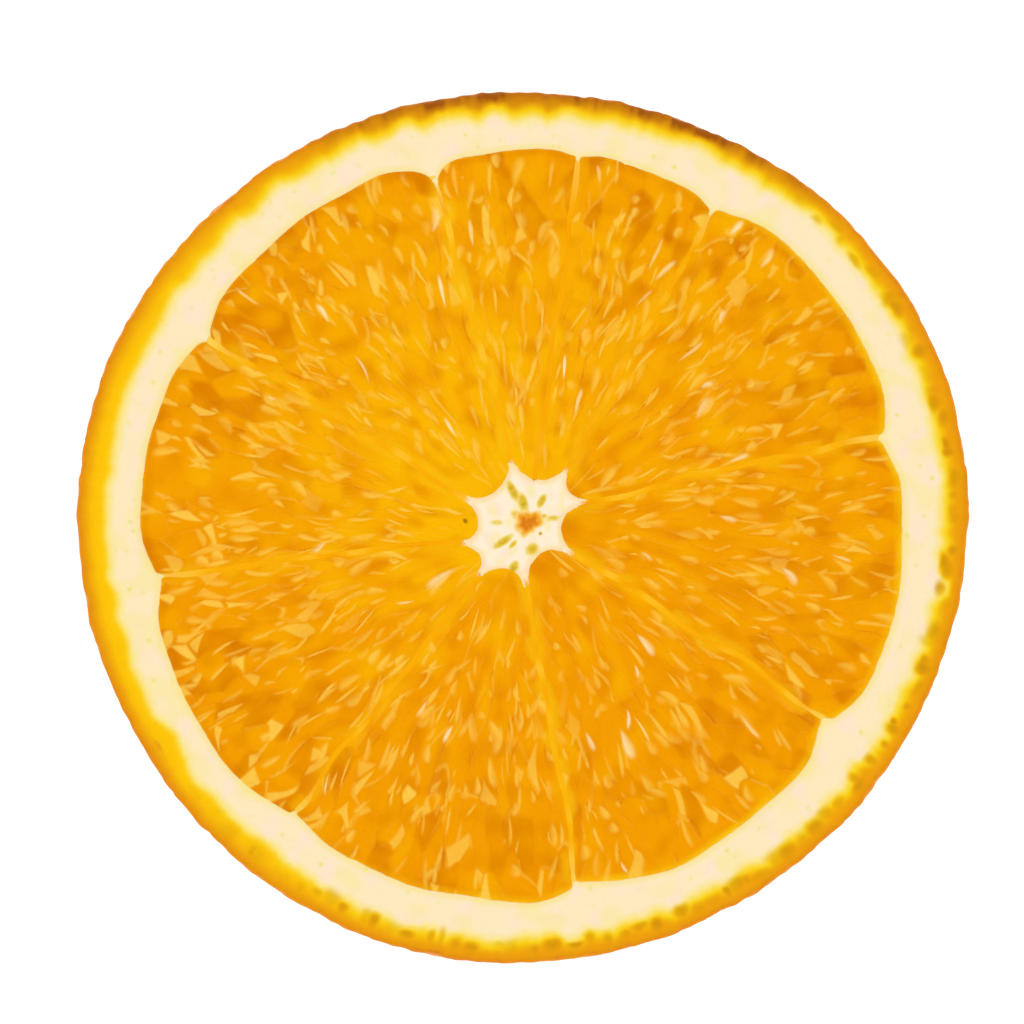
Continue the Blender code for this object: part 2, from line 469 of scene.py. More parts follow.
def sowPits():  # evenly spread over the whole fruit, then jostled
    area = 4 * math.pi * whole["half"] ** 2
    count = int(area / (skin["pitSpacing"] ** 2 * 0.866))
    random = np.random.default_rng(21)
    number = np.arange(count)
    height = 1 - 2 * (number + 0.5) / count
    turn = number * math.pi * (3 - math.sqrt(5))
    level = np.sqrt(1 - height**2)
    places = np.stack([level * np.cos(turn), level * np.sin(turn), height], 1) * whole["half"]
    places += random.normal(0, 0.2, places.shape) * skin["pitSpacing"]
    tree = KDTree(count)
    for index, place in enumerate(places):
        tree.insert(place, index)
    tree.balance()
    return {"tree": tree, "size": random.uniform(0.6, 1.1, count), "deep": random.uniform(0.35, 1.0, count)}


pits = sowPits()


def skinAt(angle, lift):
    # The outside of the fruit. The angle goes round it; lift is the angle up from the underside.
    # Gives the points, the outward directions and, from 0 to 1, how deep in a pit each point is.
    widest = rimRadius(angle) * whole["widest"]
    out = np.stack([np.sin(lift) * np.cos(angle), np.sin(lift) * np.sin(angle), -np.cos(lift)], 1)
    plain = out * whole["half"]
    found = [pits["tree"].find(point) for point in plain]
    index = np.array([hit[1] for hit in found])
    away = np.array([hit[2] for hit in found]) / (skin["pitRadius"] * pits["size"][index])
    pit = pits["deep"][index] * fadedTo(away, 0.1, 1.0)
    lump = 0.6 * ripple(plain, skin["lumpLength"], 31) + 0.4 * ripple(plain, skin["lumpLength"] * 0.35, 32)
    scale = np.stack([widest - skin["inset"], widest - skin["inset"],
                      np.full(len(widest), whole["half"] - skin["inset"])], 1)
    rise = np.clip(lump, -1.3, 1.3) * skin["lumps"] - pit * skin["pitDepth"]
    points = out * scale + out * rise[:, None]
    points[:, 2] += whole["middle"]
    return points, out, pit


def russetAt(angle, level):  # rough brown patches under the rim of the cut
    back = ease(0.76, 0.98, towards(angle, skin["russetSide"]))
    around = np.column_stack([aimed(40, angle), level / mm])
    spots = (0.6 * ripple(around, 6, 41, 32) + 0.4 * ripple(around, 2.2, 42, 32)
             + 0.4 * ripple(around, 1, 43, 32))
    return back * (0.45 + 0.55 * ease(-0.9, 0.9, spots)) * ease(*skin["russetLevels"], level)


def skinPaint(points, angle, pit):
    scar = fadedTo(np.hypot(*points[:, :2].T), *skin["flowerScar"])
    scar *= fadedTo(points[:, 2], 2 * mm, 4 * mm)
    return {"pit": pit, "russet": russetAt(angle, points[:, 2]), "scar": scar}


def placeSkin(angle, lift, sunk):  # sunk is how far under the outside each point lies
    points, out, pit = skinAt(angle, lift)
    points -= out * sunk[:, None]
    paint = skinPaint(points, angle, pit)
    points[:, 2] = np.maximum(points[:, 2], 0)  # the flat spot that the fruit stands on
    points[:, :2] += whole["axis"]
    return points, paint


def placeLowerSkin(unit):
    # The square grid becomes a round cap, each of its square rings a circle.
    ring = np.maximum(np.abs(unit[:, 0]), np.abs(unit[:, 1]))
    wide = np.abs(unit[:, 0]) >= np.abs(unit[:, 1])
    safe = np.where(ring > 0, ring, 1)
    turn = np.where(wide, unit[:, 1] * np.sign(unit[:, 0]), -unit[:, 0] * np.sign(unit[:, 1])) / safe
    start = np.where(wide, np.where(unit[:, 0] < 0, 2, 0), np.where(unit[:, 1] < 0, -1, 1))
    angle = start * math.pi / 2 + turn * math.pi / 4
    seam = math.radians(skin["seamAngle"])
    lift = ring * (seam + skin["overlap"] / whole["half"])
    tuck = np.maximum(lift - seam, 0) * whole["half"] * skin["tuck"]
    return placeSkin(angle, lift, tuck + np.where(unit[:, 2] < -0.5, skin["thickness"], 0))


def placeUpperSkin(unit):
    angle = np.arctan2(unit[:, 1], unit[:, 0])
    row = np.round(unit[:, 2])
    seam = math.radians(skin["seamAngle"])
    past = skin["overlap"] / whole["half"]
    cut = math.pi / 2 + math.asin((fruit["cutAboveMiddle"] - skin["lip"]) / (whole["half"] - skin["inset"]))
    outside = np.clip(row / (skin["upperRows"] - 1), 0, 1)
    inside = np.clip((row - skin["upperRows"] + 1) / skin["lipRows"], 0, 1)
    lift = seam - past + (cut - seam + past) * (outside - inside)
    rim = cut - (skin["rimSeam"] - skin["lip"]) / whole["half"]
    tuck = (np.maximum(seam - lift, 0) + np.maximum(lift - rim, 0)) * whole["half"] * skin["tuck"]
    return placeSkin(angle, lift, tuck + np.where(row >= skin["upperRows"], skin["thickness"], 0))


def skinColour(finish):
    fine = finish.grain(0.35 * mm)
    broad = finish.grain(7 * mm, 3)
    return finish.coats(tint(*skin["orange"]), skin, (
        (finish.band(broad, 0.25, 0.8), 1, "bright"),
        (finish.band(fine, 0.45, 0.7), 0.35, "bright"),
        ("pit", 0.5, "pit"),
        ("russet", 0.35 + fine * 0.5, "russet"),
        ("scar", 0.8, "scar"),
    ))


def skinRelief(finish):
    place = finish.node("ShaderNodeTexCoord", {}, {}, output=3)
    pores = finish.node("ShaderNodeTexVoronoi", {}, {"Vector": place, "Scale": 1 / (0.9 * mm)})
    return pores * 1.6 + finish.grain(0.2 * mm) * 0.5


def makeSkinFinish():
    finish = Finish("orange_skin")
    roughness = 0.36 + finish.painted("russet") * 0.25 + finish.grain(1.2 * mm) * 0.12
    return finish.surface(skinColour(finish), roughness, skinRelief(finish), 0.06 * mm, skin["gloss"])


print("skin")
skinFinish = makeSkinFinish()
makePiece("skin_under", pillow(skin["lowerGrid"], skin["lowerGrid"], 2), placeLowerSkin,
          skinFinish, ["peel"])
makePiece("skin_side", hoop(skin["ringSteps"], skin["upperRows"] + skin["lipRows"] + 1), placeUpperSkin,
          skinFinish, ["peel"])


pith = {
    "level": 0.13 * mm,  # under the cut
    "steps": 1300,
    "wall": [fall * mm for fall in (9.0, 3.0, 2.0, 1.6, 1.2, 0.8, 0.5)],  # rows under the rounded edge
    "shoulderRows": 6,
    "bandRows": 20,  # fine rows over the cut skin
    "bandWidth": 2.9 * mm,
    "ringRows": 32,  # wider rows over the white pith
    "ringWidth": 9.0 * mm,
    "innerRows": 5,  # hidden rows down under the pulp, and as many back up
    "innerWall": 4 * mm,  # how far out they come back
    "overlap": 0.42 * mm,  # how far the white comes in over a segment's outline
    "drop": 1.5 * mm,  # and how far it sinks under it
    "yellowSide": 190.0,  # degrees, where the skin's yellow reaches further in
    "stainSide": 203.0,  # where the white is a little yellow
    "glandSide": -42.0,  # where the oil glands show most
    "glandPitch": 1.55 * mm,
    "glandDepth": 1.5 * mm,  # from the outline to the middle of a gland
    "glandLong": 0.66 * mm,  # half its height, from the skin inwards
    "glandWide": 0.50 * mm,
    "gloss": (1.42, 0.3, (255, 226, 170)),
    "pink": (254, 229, 206),
    "butter": (250, 232, 160),
    "speck": (228, 226, 80),
    "fringe": (250, 226, 120),
    "olive": (188, 142, 4),
    "sunny": (255, 198, 0),
    "amber": (222, 154, 4),
    "rust": (160, 84, 8),
    "across": [(0.10, (232, 150, 8)), (0.30, (240, 164, 6)), (0.42, (244, 184, 8)), (0.52, (250, 206, 12)),
               (0.64, (251, 218, 70)), (0.78, (252, 229, 140)), (0.98, (253, 233, 190))],  # skin to white
}


def yellowSide(angle):
    return ease(0.2, 1.0, towards(angle, pith["yellowSide"]))


def glandSide(angle):
    return 0.06 + 0.94 * ease(-0.35, 0.5, towards(angle, pith["glandSide"]))


def glandsAt(angle, depth):  # how far each point lies in a cut oil gland, and on its shaded side
    random = np.random.default_rng(51)
    count = int(2 * math.pi * whole["half"] / pith["glandPitch"])
    turn = (np.arange(count) + random.uniform(-0.48, 0.48, count)) * 2 * math.pi / count
    deep = pith["glandDepth"] + random.uniform(-0.6, 0.4, count) * mm
    long = pith["glandLong"] * random.uniform(0.5, 1.4, count)
    wide = pith["glandWide"] * random.uniform(0.6, 2.0, count)
    strong = glandSide(turn) * random.uniform(0.15, 1.0, count)
    around = np.angle(np.exp(1j * (angle[:, None] - turn))) * whole["half"]
    inward = depth[:, None] - deep
    away = np.hypot(around / wide * (1 - 0.35 * np.clip(inward / long, -1, 1)), inward / long)
    mask = (strong * fadedTo(away, 0.35, 1.4)).max(1)
    dark = ease(-0.6, 0.5, inward / long + 0.3 * around / wide)
    shade = (strong * fadedTo(away, 0.1, 1.0) * dark).max(1)
    return mask, shade


def specksAt(flat, count, size, seed):  # small dots strewn over the pith
    random = np.random.default_rng(seed)
    angle = random.uniform(-math.pi, math.pi, count)
    inward = random.uniform(2.6, 6.2, count) * mm
    centres = aimed(rimRadius(angle) - inward, angle)
    across = random.uniform(0.6, 1.4, count) * size
    away = np.hypot(*(flat[:, None, :] - centres).transpose(2, 0, 1)) / across
    return (fadedTo(away, 0.4, 1.1) * random.uniform(0.4, 1.0, count)).max(1)


def placePith(unit):
    angle = np.arctan2(unit[:, 1], unit[:, 0])
    row = np.round(unit[:, 2]).astype(int)
    shoulder = skin["shoulder"]
    bend = np.linspace(0.12, 1, pith["shoulderRows"]) * math.pi / 2
    # Rows run up the outer wall, over the rounded edge, across the cut and down under the pulp.
    depths = np.concatenate([
        np.zeros(len(pith["wall"])), shoulder * (1 - np.cos(bend)),
        np.linspace(shoulder, pith["bandWidth"], pith["bandRows"] + 1)[1:],
        np.linspace(pith["bandWidth"], pith["ringWidth"], pith["ringRows"] + 1)[1:],
    ])
    falls = np.concatenate([pith["wall"], shoulder * (1 - np.sin(bend)),
                            np.zeros(pith["bandRows"] + pith["ringRows"])])
    ups = len(depths)
    top = row < ups
    depth = np.where(top, depths[np.minimum(row, ups - 1)], pith["ringWidth"])
    fall = np.where(top, falls[np.minimum(row, ups - 1)], 0)
    level = whole["top"] - pith["level"] - fall
    lift = math.pi / 2 + np.arcsin((level - whole["middle"]) / (whole["half"] - skin["inset"]))
    points, _, pit = skinAt(angle, lift)
    radius = np.hypot(*points[:, :2].T) - depth
    radius -= np.maximum(fall + pith["level"] - skin["rimSeam"], 0) * skin["tuck"]  # slips under the skin
    flat = aimed(radius, angle)
    inPulp = depthInPulp(flat, pith["overlap"])
    mask, shade = glandsAt(angle, depth)
    band = (depth > 0) & top
    rough = ripple(flat, 1.6 * mm, 61) * 0.03 * mm + ripple(flat, 0.7 * mm, 62) * 0.012 * mm
    rough *= ease(0.2 * mm, 0.8 * mm, depth) * (1 - 0.7 * ease(-0.6 * mm, 0, inPulp))
    level = level + np.where(band, rough - mask * 0.07 * mm, 0)
    level -= np.where(band, pith["drop"] * ease(0.25 * mm, 0.95 * mm, inPulp), 0)
    # Hidden rows go on under the pulp as a bowl, and come back along the inside of the skin.
    swing = np.clip((row - ups + 1) / pith["innerRows"], 0, 2)
    under = np.where(swing <= 1, swing, 2 - swing)
    far = np.hypot(*flat.T) + np.where(swing <= 1, 0, pith["innerWall"])
    bowl = far * np.cos(under * math.pi / 2 * 0.985)
    grown = np.where(swing <= 1, 0.4 * mm, 3.4 * mm)
    flat = np.where(top[:, None], flat, aimed(bowl, angle))
    level = np.where(top, level, floorUnder(flat, grown))
    around = aimed(whole["half"], angle)
    reach = 0.55 * mm * ripple(around, 4.5 * mm, 63)
    uneven = 0.32 * mm * ripple(around, 2.8 * mm, 64) + 0.09 * mm * ripple(around, 1.2 * mm, 68)
    reach += uneven * (1 - 0.7 * yellowSide(angle))
    painted = depth - mask * 0.75 * mm * ease(0.7 * mm, 1.4 * mm, depth)
    painted -= (reach * 0.45 + yellowSide(angle) * 0.6 * mm) * ease(0.5 * mm, 1.4 * mm, depth)
    stained = 0.9 * ease(0.93, 1, towards(angle, pith["stainSide"]))
    paint = skinPaint(np.column_stack([flat, level]), angle, pit)
    paint.update({
        "depth": painted / mm,
        "sunny": yellowSide(angle) * ease(0.4 * mm, 1.6 * mm, depth),
        "worn": paint["russet"] * fadedTo(whole["top"] - level, 0.2 * mm, 0.7 * mm),
        "gland": mask,
        "shade": shade,
        "speck": specksAt(flat, 90, 0.22 * mm, 65),
        "butter": ease(0.2, 1.3, ripple(flat, 4 * mm, 66) + stained),
        "pink": ease(0.0, 1.2, ripple(flat, 3.5 * mm, 67)),
        "fringe": fadedTo(-inPulp, 0.1 * mm, 0.55 * mm),
    })
    return raised(flat, level), paint


def makePithFinish():
    finish = Finish("orange_pith")
    depth = finish.painted("depth")
    fine = finish.grain(0.3 * mm)
    soft = finish.grain(1.1 * mm, 3)
    stops = [(place, tint(*shade)) for place, shade in pith["across"]]
    across = depth * (1 / 3) + (soft - 0.5) * 0.1
    band = finish.node("ShaderNodeValToRGB", {"stops": stops}, {"Fac": across})
    band = finish.coats(band, pith, [("sunny", (1 - finish.band(depth, 1.4, 2.1)) * 0.9, "sunny")])
    colour = finish.blend(1 - finish.band(depth, 0.05, 0.45), band, skinColour(finish))
    white = finish.band(depth, 2.0, 2.8)
    colour = finish.coats(colour, pith, (
        ("worn", (1 - finish.band(depth, 0.3, 1.5)) * (0.8 + fine * 0.8), "rust"),
        ("pink", white * 0.7, "pink"),
        ("butter", white * 0.6, "butter"),
        ("gland", 0.5 + fine * 0.5, "amber"),
        ("shade", 0.6, "olive"),
        ("speck", white * 0.7, "speck"),
        ("fringe", white * 0.5, "fringe"),
    ))
    roughness = 0.62 - (1 - finish.band(depth, 1.0, 2.4)) * 0.22 + fine * 0.08
    inside = finish.band(depth, 0.05, 0.45)
    height = (fine + soft * 1.5) * 0.7 * inside + skinRelief(finish) * (1 - inside)
    return finish.surface(colour, roughness, height, 0.06 * mm, pith["gloss"])


print("pith")
pithRows = len(pith["wall"]) + sum(pith[name] for name in ("shoulderRows", "bandRows", "ringRows"))
makePiece("pith", hoop(pith["steps"], pithRows + 2 * pith["innerRows"]), placePith,
          makePithFinish(), ["peel"])


pulp = {
    "rim": 0.20 * mm,  # the outline of a segment dips this far under the cut, under the pith
    "side": 0.14 * mm,  # and along its membranes this far
    "edge": 0.08 * mm,  # just inside its outline it is this high
    "level": 0.24 * mm,  # and its juice sacs lie on average this far down
    "spacing": 0.118 * mm,
    "sacsTried": 2600,
    "longInner": 2.0 * mm,  # half sizes of a sac near the core and near the pith
    "longOuter": 1.4 * mm,
    "wideInner": 0.34 * mm,
    "wideOuter": 0.72 * mm,
    "litSide": 205.0,  # degrees, where the cut sacs catch the light most
    "deepSide": -30.0,  # where the pulp is a deeper orange
    "gloss": (1.36, 0.26, (255, 214, 110)),
    "orange": (245, 157, 1),
    "deep": (222, 127, 0),
    "light": (252, 184, 4),
    "pale": (255, 204, 76),
    "yellow": (249, 188, 14),
    "rind": (251, 208, 60),
    "glint": (255, 232, 178),
    "blemish": (-5.4 * mm, 0.75 * mm, 0.30 * mm),  # a small brown spot beside the core, and its radius
    "brown": (136, 84, 6),
}

# Pale marks on the cut sacs, a little raised, whose lighter colour is painted highlight where a cut face
# catches the light: how many in a segment of ordinary width, where they lie between the core and the pith,
# their half sizes, how far they lean, and how many of them shine.
streaks = {"count": 62, "near": 2.0, "far": 1.4, "long": (0.4, 1.6), "wide": (0.09, 0.21), "lean": 0.24,
           "strength": (0.3, 1.0), "oneSided": 0.0, "shining": 0.05}
drops = {"count": 62, "near": 1.9, "far": 1.2, "long": (0.4, 1.4), "wide": (0.18, 0.5), "lean": 0.27,
         "strength": (0.4, 1.0), "oneSided": 0.8, "shining": 0.03}


membrane = {
    "width": 1.0 * mm,
    "along": 230,
    "across": 16,
    "shows": (0.6, 0.4, 0.2, 0.95, 0.6, 0.5, 0.5, 0.75, 0.6),  # how much each one stands out from the pulp
    "gloss": (1.38, 0.3, (255, 214, 110)),
    "orange": (251, 167, 3),
    "yellow": (255, 192, 16),
    "pale": (255, 216, 96),
    "white": (254, 236, 200),
}


def reachAt(segment, spread, share):  # share is 0 at the inner end and 1 at the pith
    inner = innerReach(segment, spread)
    return inner + share * (outerReach(segment, spread) - inner)


def sowSacs(segment, random):
    # Long juice sacs that point to the core, thinner towards it. One is kept where it has room.
    tries = pulp["sacsTried"]
    spread = random.uniform(-1, 1, tries) * segment["half"]
    share = random.uniform(0, 1, tries)
    reach = reachAt(segment, spread, share)
    lean = spread + random.normal(0, 0.10, tries) + 0.25 * (share - 0.4) * random.choice([-1, 1], tries)
    long = pulp["longInner"] + (pulp["longOuter"] - pulp["longInner"]) * share
    wide = pulp["wideInner"] + (pulp["wideOuter"] - pulp["wideInner"]) * share**0.8
    sacs = np.stack([reach * np.cos(spread), reach * np.sin(spread), np.cos(lean), np.sin(lean),
                     long * random.uniform(0.75, 1.25, tries), wide * random.uniform(0.75, 1.3, tries)], 1)
    kept = sacs[:1]
    for sac in sacs[1:]:
        dx, dy = (kept[:, :2] - sac[:2]).T
        along = dx * sac[2] + dy * sac[3]
        across = dy * sac[2] - dx * sac[3]
        if np.hypot(along / (sac[4] + kept[:, 4]), across / (sac[5] + kept[:, 5])).min() > 0.82:
            kept = np.vstack([kept, sac])
    return kept.T


def litSide(segment, x, y):
    return ease(-0.2, 0.8, towards(np.arctan2(y, x) + segment["facing"], pulp["litSide"]))


def growSacs(segment, x, y, share, seed):
    # The relief of a cut segment, in metres over its mean level, and the looks of its sacs.
    random = np.random.default_rng(seed)
    sx, sy, c, s, long, wide = (row.astype(np.float32) for row in sowSacs(segment, random))
    count = len(sx)
    dx = x[:, None].astype(np.float32) - sx
    dy = y[:, None].astype(np.float32) - sy
    along = (dx * c + dy * s) / long
    across = (dy * c - dx * s) / (wide * (1 + 0.35 * np.clip(along, -1.5, 1.5)))
    away = np.hypot(along, across)
    everyone = np.arange(len(x))
    near = away.argmin(1)
    first = away[everyone, near]
    away[everyone, near] = 99
    beside = away.argmin(1)
    second = away[everyone, beside]
    edge = (second - first) * wide[near] * 0.55

    domed = random.uniform(0, 1, count) < 0.6
    swell = np.where(domed, random.uniform(0.05, 0.14, count), random.uniform(-0.08, 0.02, count)) * mm
    offset = random.normal(0, 0.04, count) * mm
    tiltLong, tiltWide = random.normal(0, 0.05, (2, count)) * mm

    def heightOf(sac, distance):
        lean = tiltLong[sac] * along[everyone, sac] + tiltWide[sac] * across[everyone, sac]
        dome = swell[sac] * (1 - np.minimum(distance, 1.2) ** 2)
        return offset[sac] + dome + np.clip(lean, -0.1 * mm, 0.1 * mm)

    other = 0.5 * fadedTo(edge, 0, 0.2 * mm)
    height = heightOf(near, first) * (1 - other) + heightOf(beside, second) * other
    height -= 0.04 * mm * fadedTo(edge, 0, 0.24 * mm)
    height *= 0.3 + 0.7 * ease(0.05, 0.45, share)

    # Some sacs are sliced so that one side of the cut catches the light.
    facing = random.uniform(0, 2 * math.pi, count)
    start = random.uniform(-0.1, 0.6, count)
    lit = random.uniform(0, 1, count) < 0.15 + 0.2 * litSide(segment, sx, sy)
    slant = along[everyone, near] * np.cos(facing)[near] + across[everyone, near] * np.sin(facing)[near]
    facet = lit[near] * ease(-0.05, 0.15, slant - start[near]) * ease(0.04 * mm, 0.16 * mm, edge)
    facet *= random.uniform(0.5, 1.0, count)[near] * ease(0.3, 0.75, share)
    pairs = np.sin((near + beside) * 12.9898 + near * beside * 0.37) * 43758.5453  # random for each pair
    wall = ease(0.86, 1.0, pairs - np.floor(pairs)) * fadedTo(edge, 0.02 * mm, 0.14 * mm)
    tones = random.normal(0, 1, count)
    tone = tones[near] * (1 - other) + tones[beside] * other
    shaded = (random.uniform(0, 1, count) < 0.3) * random.uniform(0.4, 1.0, count)
    shade = shaded[near] * (1 - other) + shaded[beside] * other
    return {"height": height, "facet": facet, "wall": wall, "tone": tone, "shade": shade}


# Scatters pale marks over a segment, whose lighter colour is painted highlight; gives their mask and the
# mask of those painted as glints.
def strewMarks(segment, x, y, style, seed):
    random = np.random.default_rng(seed)
    count = int(style["count"] * segment["half"] / 0.4)
    spread = random.uniform(-0.96, 0.96, count) * segment["half"]
    share = 0.04 + 0.94 * random.beta(style["near"], style["far"], count)
    reach = reachAt(segment, spread, share)
    lean = spread + random.normal(0, style["lean"], count)
    dx, dy = x[:, None] - reach * np.cos(spread), y[:, None] - reach * np.sin(spread)
    ahead, aside = splitAlong(dx, dy, lean)
    ahead = ahead / (random.uniform(*style["long"], count) * mm)
    bend = random.normal(0, 0.08, count) * mm
    wide = random.uniform(*style["wide"], count) * mm * (1 + 0.45 * np.clip(ahead, -1, 1))
    across = (aside - bend * ahead**2) / wide
    mask = fadedTo(np.hypot(ahead, across), 0.55, 1.15)
    mask *= 1 - style["oneSided"] * fadedTo(across * random.choice([-1, 1], count), -0.9, 0.5)
    strength = random.uniform(*style["strength"], count)
    shining = (random.uniform(0, 1, count) < style["shining"]) * random.uniform(0.35, 1.0, count)
    return (mask * strength).max(1), (mask * shining).max(1)


def placeSegment(segment, shows, seed):  # shows says how much the membranes right and left of it stand out
    def place(unit):
        spread = unit[:, 0] * segment["half"]
        share = (unit[:, 1] + 1) / 2
        reach = reachAt(segment, spread, share)
        x = reach * np.cos(spread)
        y = reach * np.sin(spread)
        flat = turned(np.stack([x, y], 1), -segment["facing"]) + segment["apex"]
        angle = np.arctan2(flat[:, 1], flat[:, 0])
        inside = np.maximum(depthInSegment(segment, flat), 0)
        toPith = outerReach(segment, spread) - reach
        toSide = reach * np.sin(segment["half"] - np.abs(spread))
        sacs = growSacs(segment, x, y, share, seed)
        # Streaks and drops: a little raised, and painted lighter as painted highlights on the cut sacs.
        streak, shine = strewMarks(segment, x, y, streaks, seed + 100)
        drop, glow = strewMarks(segment, x, y, drops, seed + 150)
        settled = ease(0.1 * mm, 0.65 * mm, inside)
        slow = ripple(flat, 6 * mm, seed + 200)
        fibre = ripple(np.stack([spread / 0.15, reach / (6 * mm)], 1), 1.0, seed + 250, 24)
        fibre *= ease(0.02, 0.3, share)
        rim = pulp["side"] + (pulp["rim"] - pulp["side"]) * ease(0, 0.15 * mm, toSide - inside)
        sunk = pulp["edge"] + (rim - pulp["edge"]) * fadedTo(inside, 0, 0.28 * mm)
        sunk += (pulp["level"] - pulp["edge"]) * ease(0.25 * mm, 1.1 * mm, inside)
        relief = sacs["height"] + (streak * 0.07 + drop * 0.06 + slow * 0.04 + fibre * 0.02) * mm
        level = whole["top"] - np.maximum(sunk - relief * settled, 0.02 * mm)

        right = ease(-0.3, 0.7, towards(angle, pulp["deepSide"]))
        upper = (0.5 + 0.5 * towards(angle, 140 - 85 * share**2)) ** 1.5
        lobe = fadedTo(share, 0, 0.22)
        light = upper * (0.85 - 0.58 * share) + 0.18 * slow + 0.07 * sacs["tone"]
        light += (0.22 * fibre + 0.06) * fadedTo(share, 0.2, 0.9) + 0.4 * lobe * (1 - right)
        deep = 0.85 * sacs["shade"] * ease(0.3, 0.9, share) + 0.2 * ripple(flat, 3.0 * mm, seed + 300)
        deep -= 0.2 * fibre * fadedTo(share, 0.3, 1.0) - 0.45 * lobe * right
        # painted shade: a deeper orange along the pith, except on the right, where the pulp lies lower than
        # the pith
        deep += 0.4 * fadedTo(toPith, 0.4 * mm, 1.4 * mm) * (1 - right)
        patchy = ease(-0.6, 0.9, ripple(flat, 4 * mm, seed + 350))
        shown = np.where(spread < 0, *shows)
        yellow = shown * fadedTo(toSide, 0.1 * mm, (0.4 + 0.9 * patchy) * mm) * (0.3 + 0.7 * patchy)
        border = fadedTo(toPith, 0.3 * mm, 1.0 * mm) * right
        yellow = np.maximum(yellow, 0.95 * border * (0.5 + 0.5 * patchy))
        # Pale: painted highlights on lit facets, streaks and drops, and the pale walls between sacs.
        pale = np.max([sacs["facet"], streak * 0.85, drop * 0.9, sacs["wall"] * 0.5], axis=0)
        paint = {
            "light": np.clip(light, 0, 1),
            "deep": np.clip(deep, 0, 1) * (1 - 0.7 * yellow) * (1 - 0.12 * right),
            "pale": np.clip(pale, 0, 1) * (1 - 0.1 * right),
            "yellow": np.clip(yellow, 0, 1),
            "rind": fadedTo(toPith, 0.10 * mm, 0.4 * mm) * (0.2 + 0.5 * patchy) * (0.2 + 0.8 * right),
            "glint": np.clip(np.maximum(shine, glow) * ease(0.2 * mm, 0.6 * mm, inside), 0, 1),
            "blemish": fadedTo(np.hypot(*(flat - pulp["blemish"][:2]).T) / pulp["blemish"][2], 0.3, 1.1),
        }
        return raised(flat, level, unit[:, 2] < -0.5), paint
    return place


def makePulpFinish():
    finish = Finish("orange_pulp")
    fine = finish.grain(0.25 * mm)
    soft = finish.grain(0.9 * mm)
    colour = finish.coats(tint(*pulp["orange"]), pulp, (
        ("light", 1, "light"),
        ("deep", 0.7 + soft * 0.5, "deep"),
        ("yellow", 1, "yellow"),
        # painted highlights of the cut sacs, and their pale walls
        ("pale", 0.75 + fine * 0.4, "pale"),
        ("rind", 1, "rind"),
        ("glint", 0.9, "glint"),
        ("blemish", 0.8, "brown"),
    ))
    roughness = 0.22 + finish.painted("pale") * 0.2 + fine * 0.1
    return finish.surface(colour, roughness, fine + soft * 1.5, 0.02 * mm, pulp["gloss"])


print("pulp")
pulpFinish = makePulpFinish()
for number, segment in enumerate(segments, 1):
    across = int(2 * segment["half"] * segment["arc"].mean() / pulp["spacing"])
    along = int((segment["arc"].mean() - segment["centre"][0] + segment["radius"]) / pulp["spacing"])
    shows = [membrane["shows"][(number + side) % segmentCount] for side in (-1, 0)]
    makePiece(f"pulp_{number}", pillow(across, along, 6), placeSegment(segment, shows, 400 + number),
              pulpFinish, [f"segment_{number}"])


core = {
    "level": 0.12 * mm,
    "radius": 8.6 * mm,
    "grid": 150,
    "hollow": (0.18 * mm, 0.40 * mm),  # place of the orange hollow, from the fruit's axis
    "hollowRadius": 1.08 * mm,
    "gloss": (1.4, 0.3, (255, 255, 255)),
    "white": (255, 238, 210),
    "pink": (255, 229, 202),
    "green": (252, 234, 176),
    "fringe": (253, 216, 136),
    "halo": (246, 220, 124),
    "olive": (228, 190, 52),
    "deepOlive": (196, 156, 22),
    "hollowHalo": (250, 210, 112),
    "hollowColour": (244, 164, 26),
    "hollowMiddle": (222, 124, 2),
}

# Vessels cut across: their direction from the hollow in degrees and distance, half length and
# half width in millimetres, and strength.
vessels = [
    (114, 2.9, 0.95, 0.36, 0.8),
    (104, 1.7, 0.8, 0.4, 0.8),
    (146, 1.0, 0.7, 0.34, 0.7),
    (54, 2.2, 0.65, 0.32, 0.8),
    (8, 2.4, 0.8, 0.26, 0.5),
    (175, 2.7, 0.6, 0.22, 0.4),
    (213, 2.6, 0.9, 0.36, 0.75),
    (233, 2.2, 0.45, 0.24, 0.6),
    (280, 2.5, 0.6, 0.6, 0.7),
    (256, 4.3, 0.6, 0.4, 0.8),
    (18, 1.3, 0.55, 0.2, 0.8),
    (318, 1.5, 0.16, 0.12, 1.3),
]


def vesselsAt(flat):
    turn, away, long, wide, strength = np.array(vessels).T
    turn = np.radians(turn)
    x, y = (flat - core["hollow"]).T[:, :, None]
    ahead, aside = splitAlong(x - away * mm * np.cos(turn), y - away * mm * np.sin(turn), turn)
    return (fadedTo(np.hypot(ahead / (long * mm), aside / (wide * mm)), 0.2, 1.5) * strength).max(1)


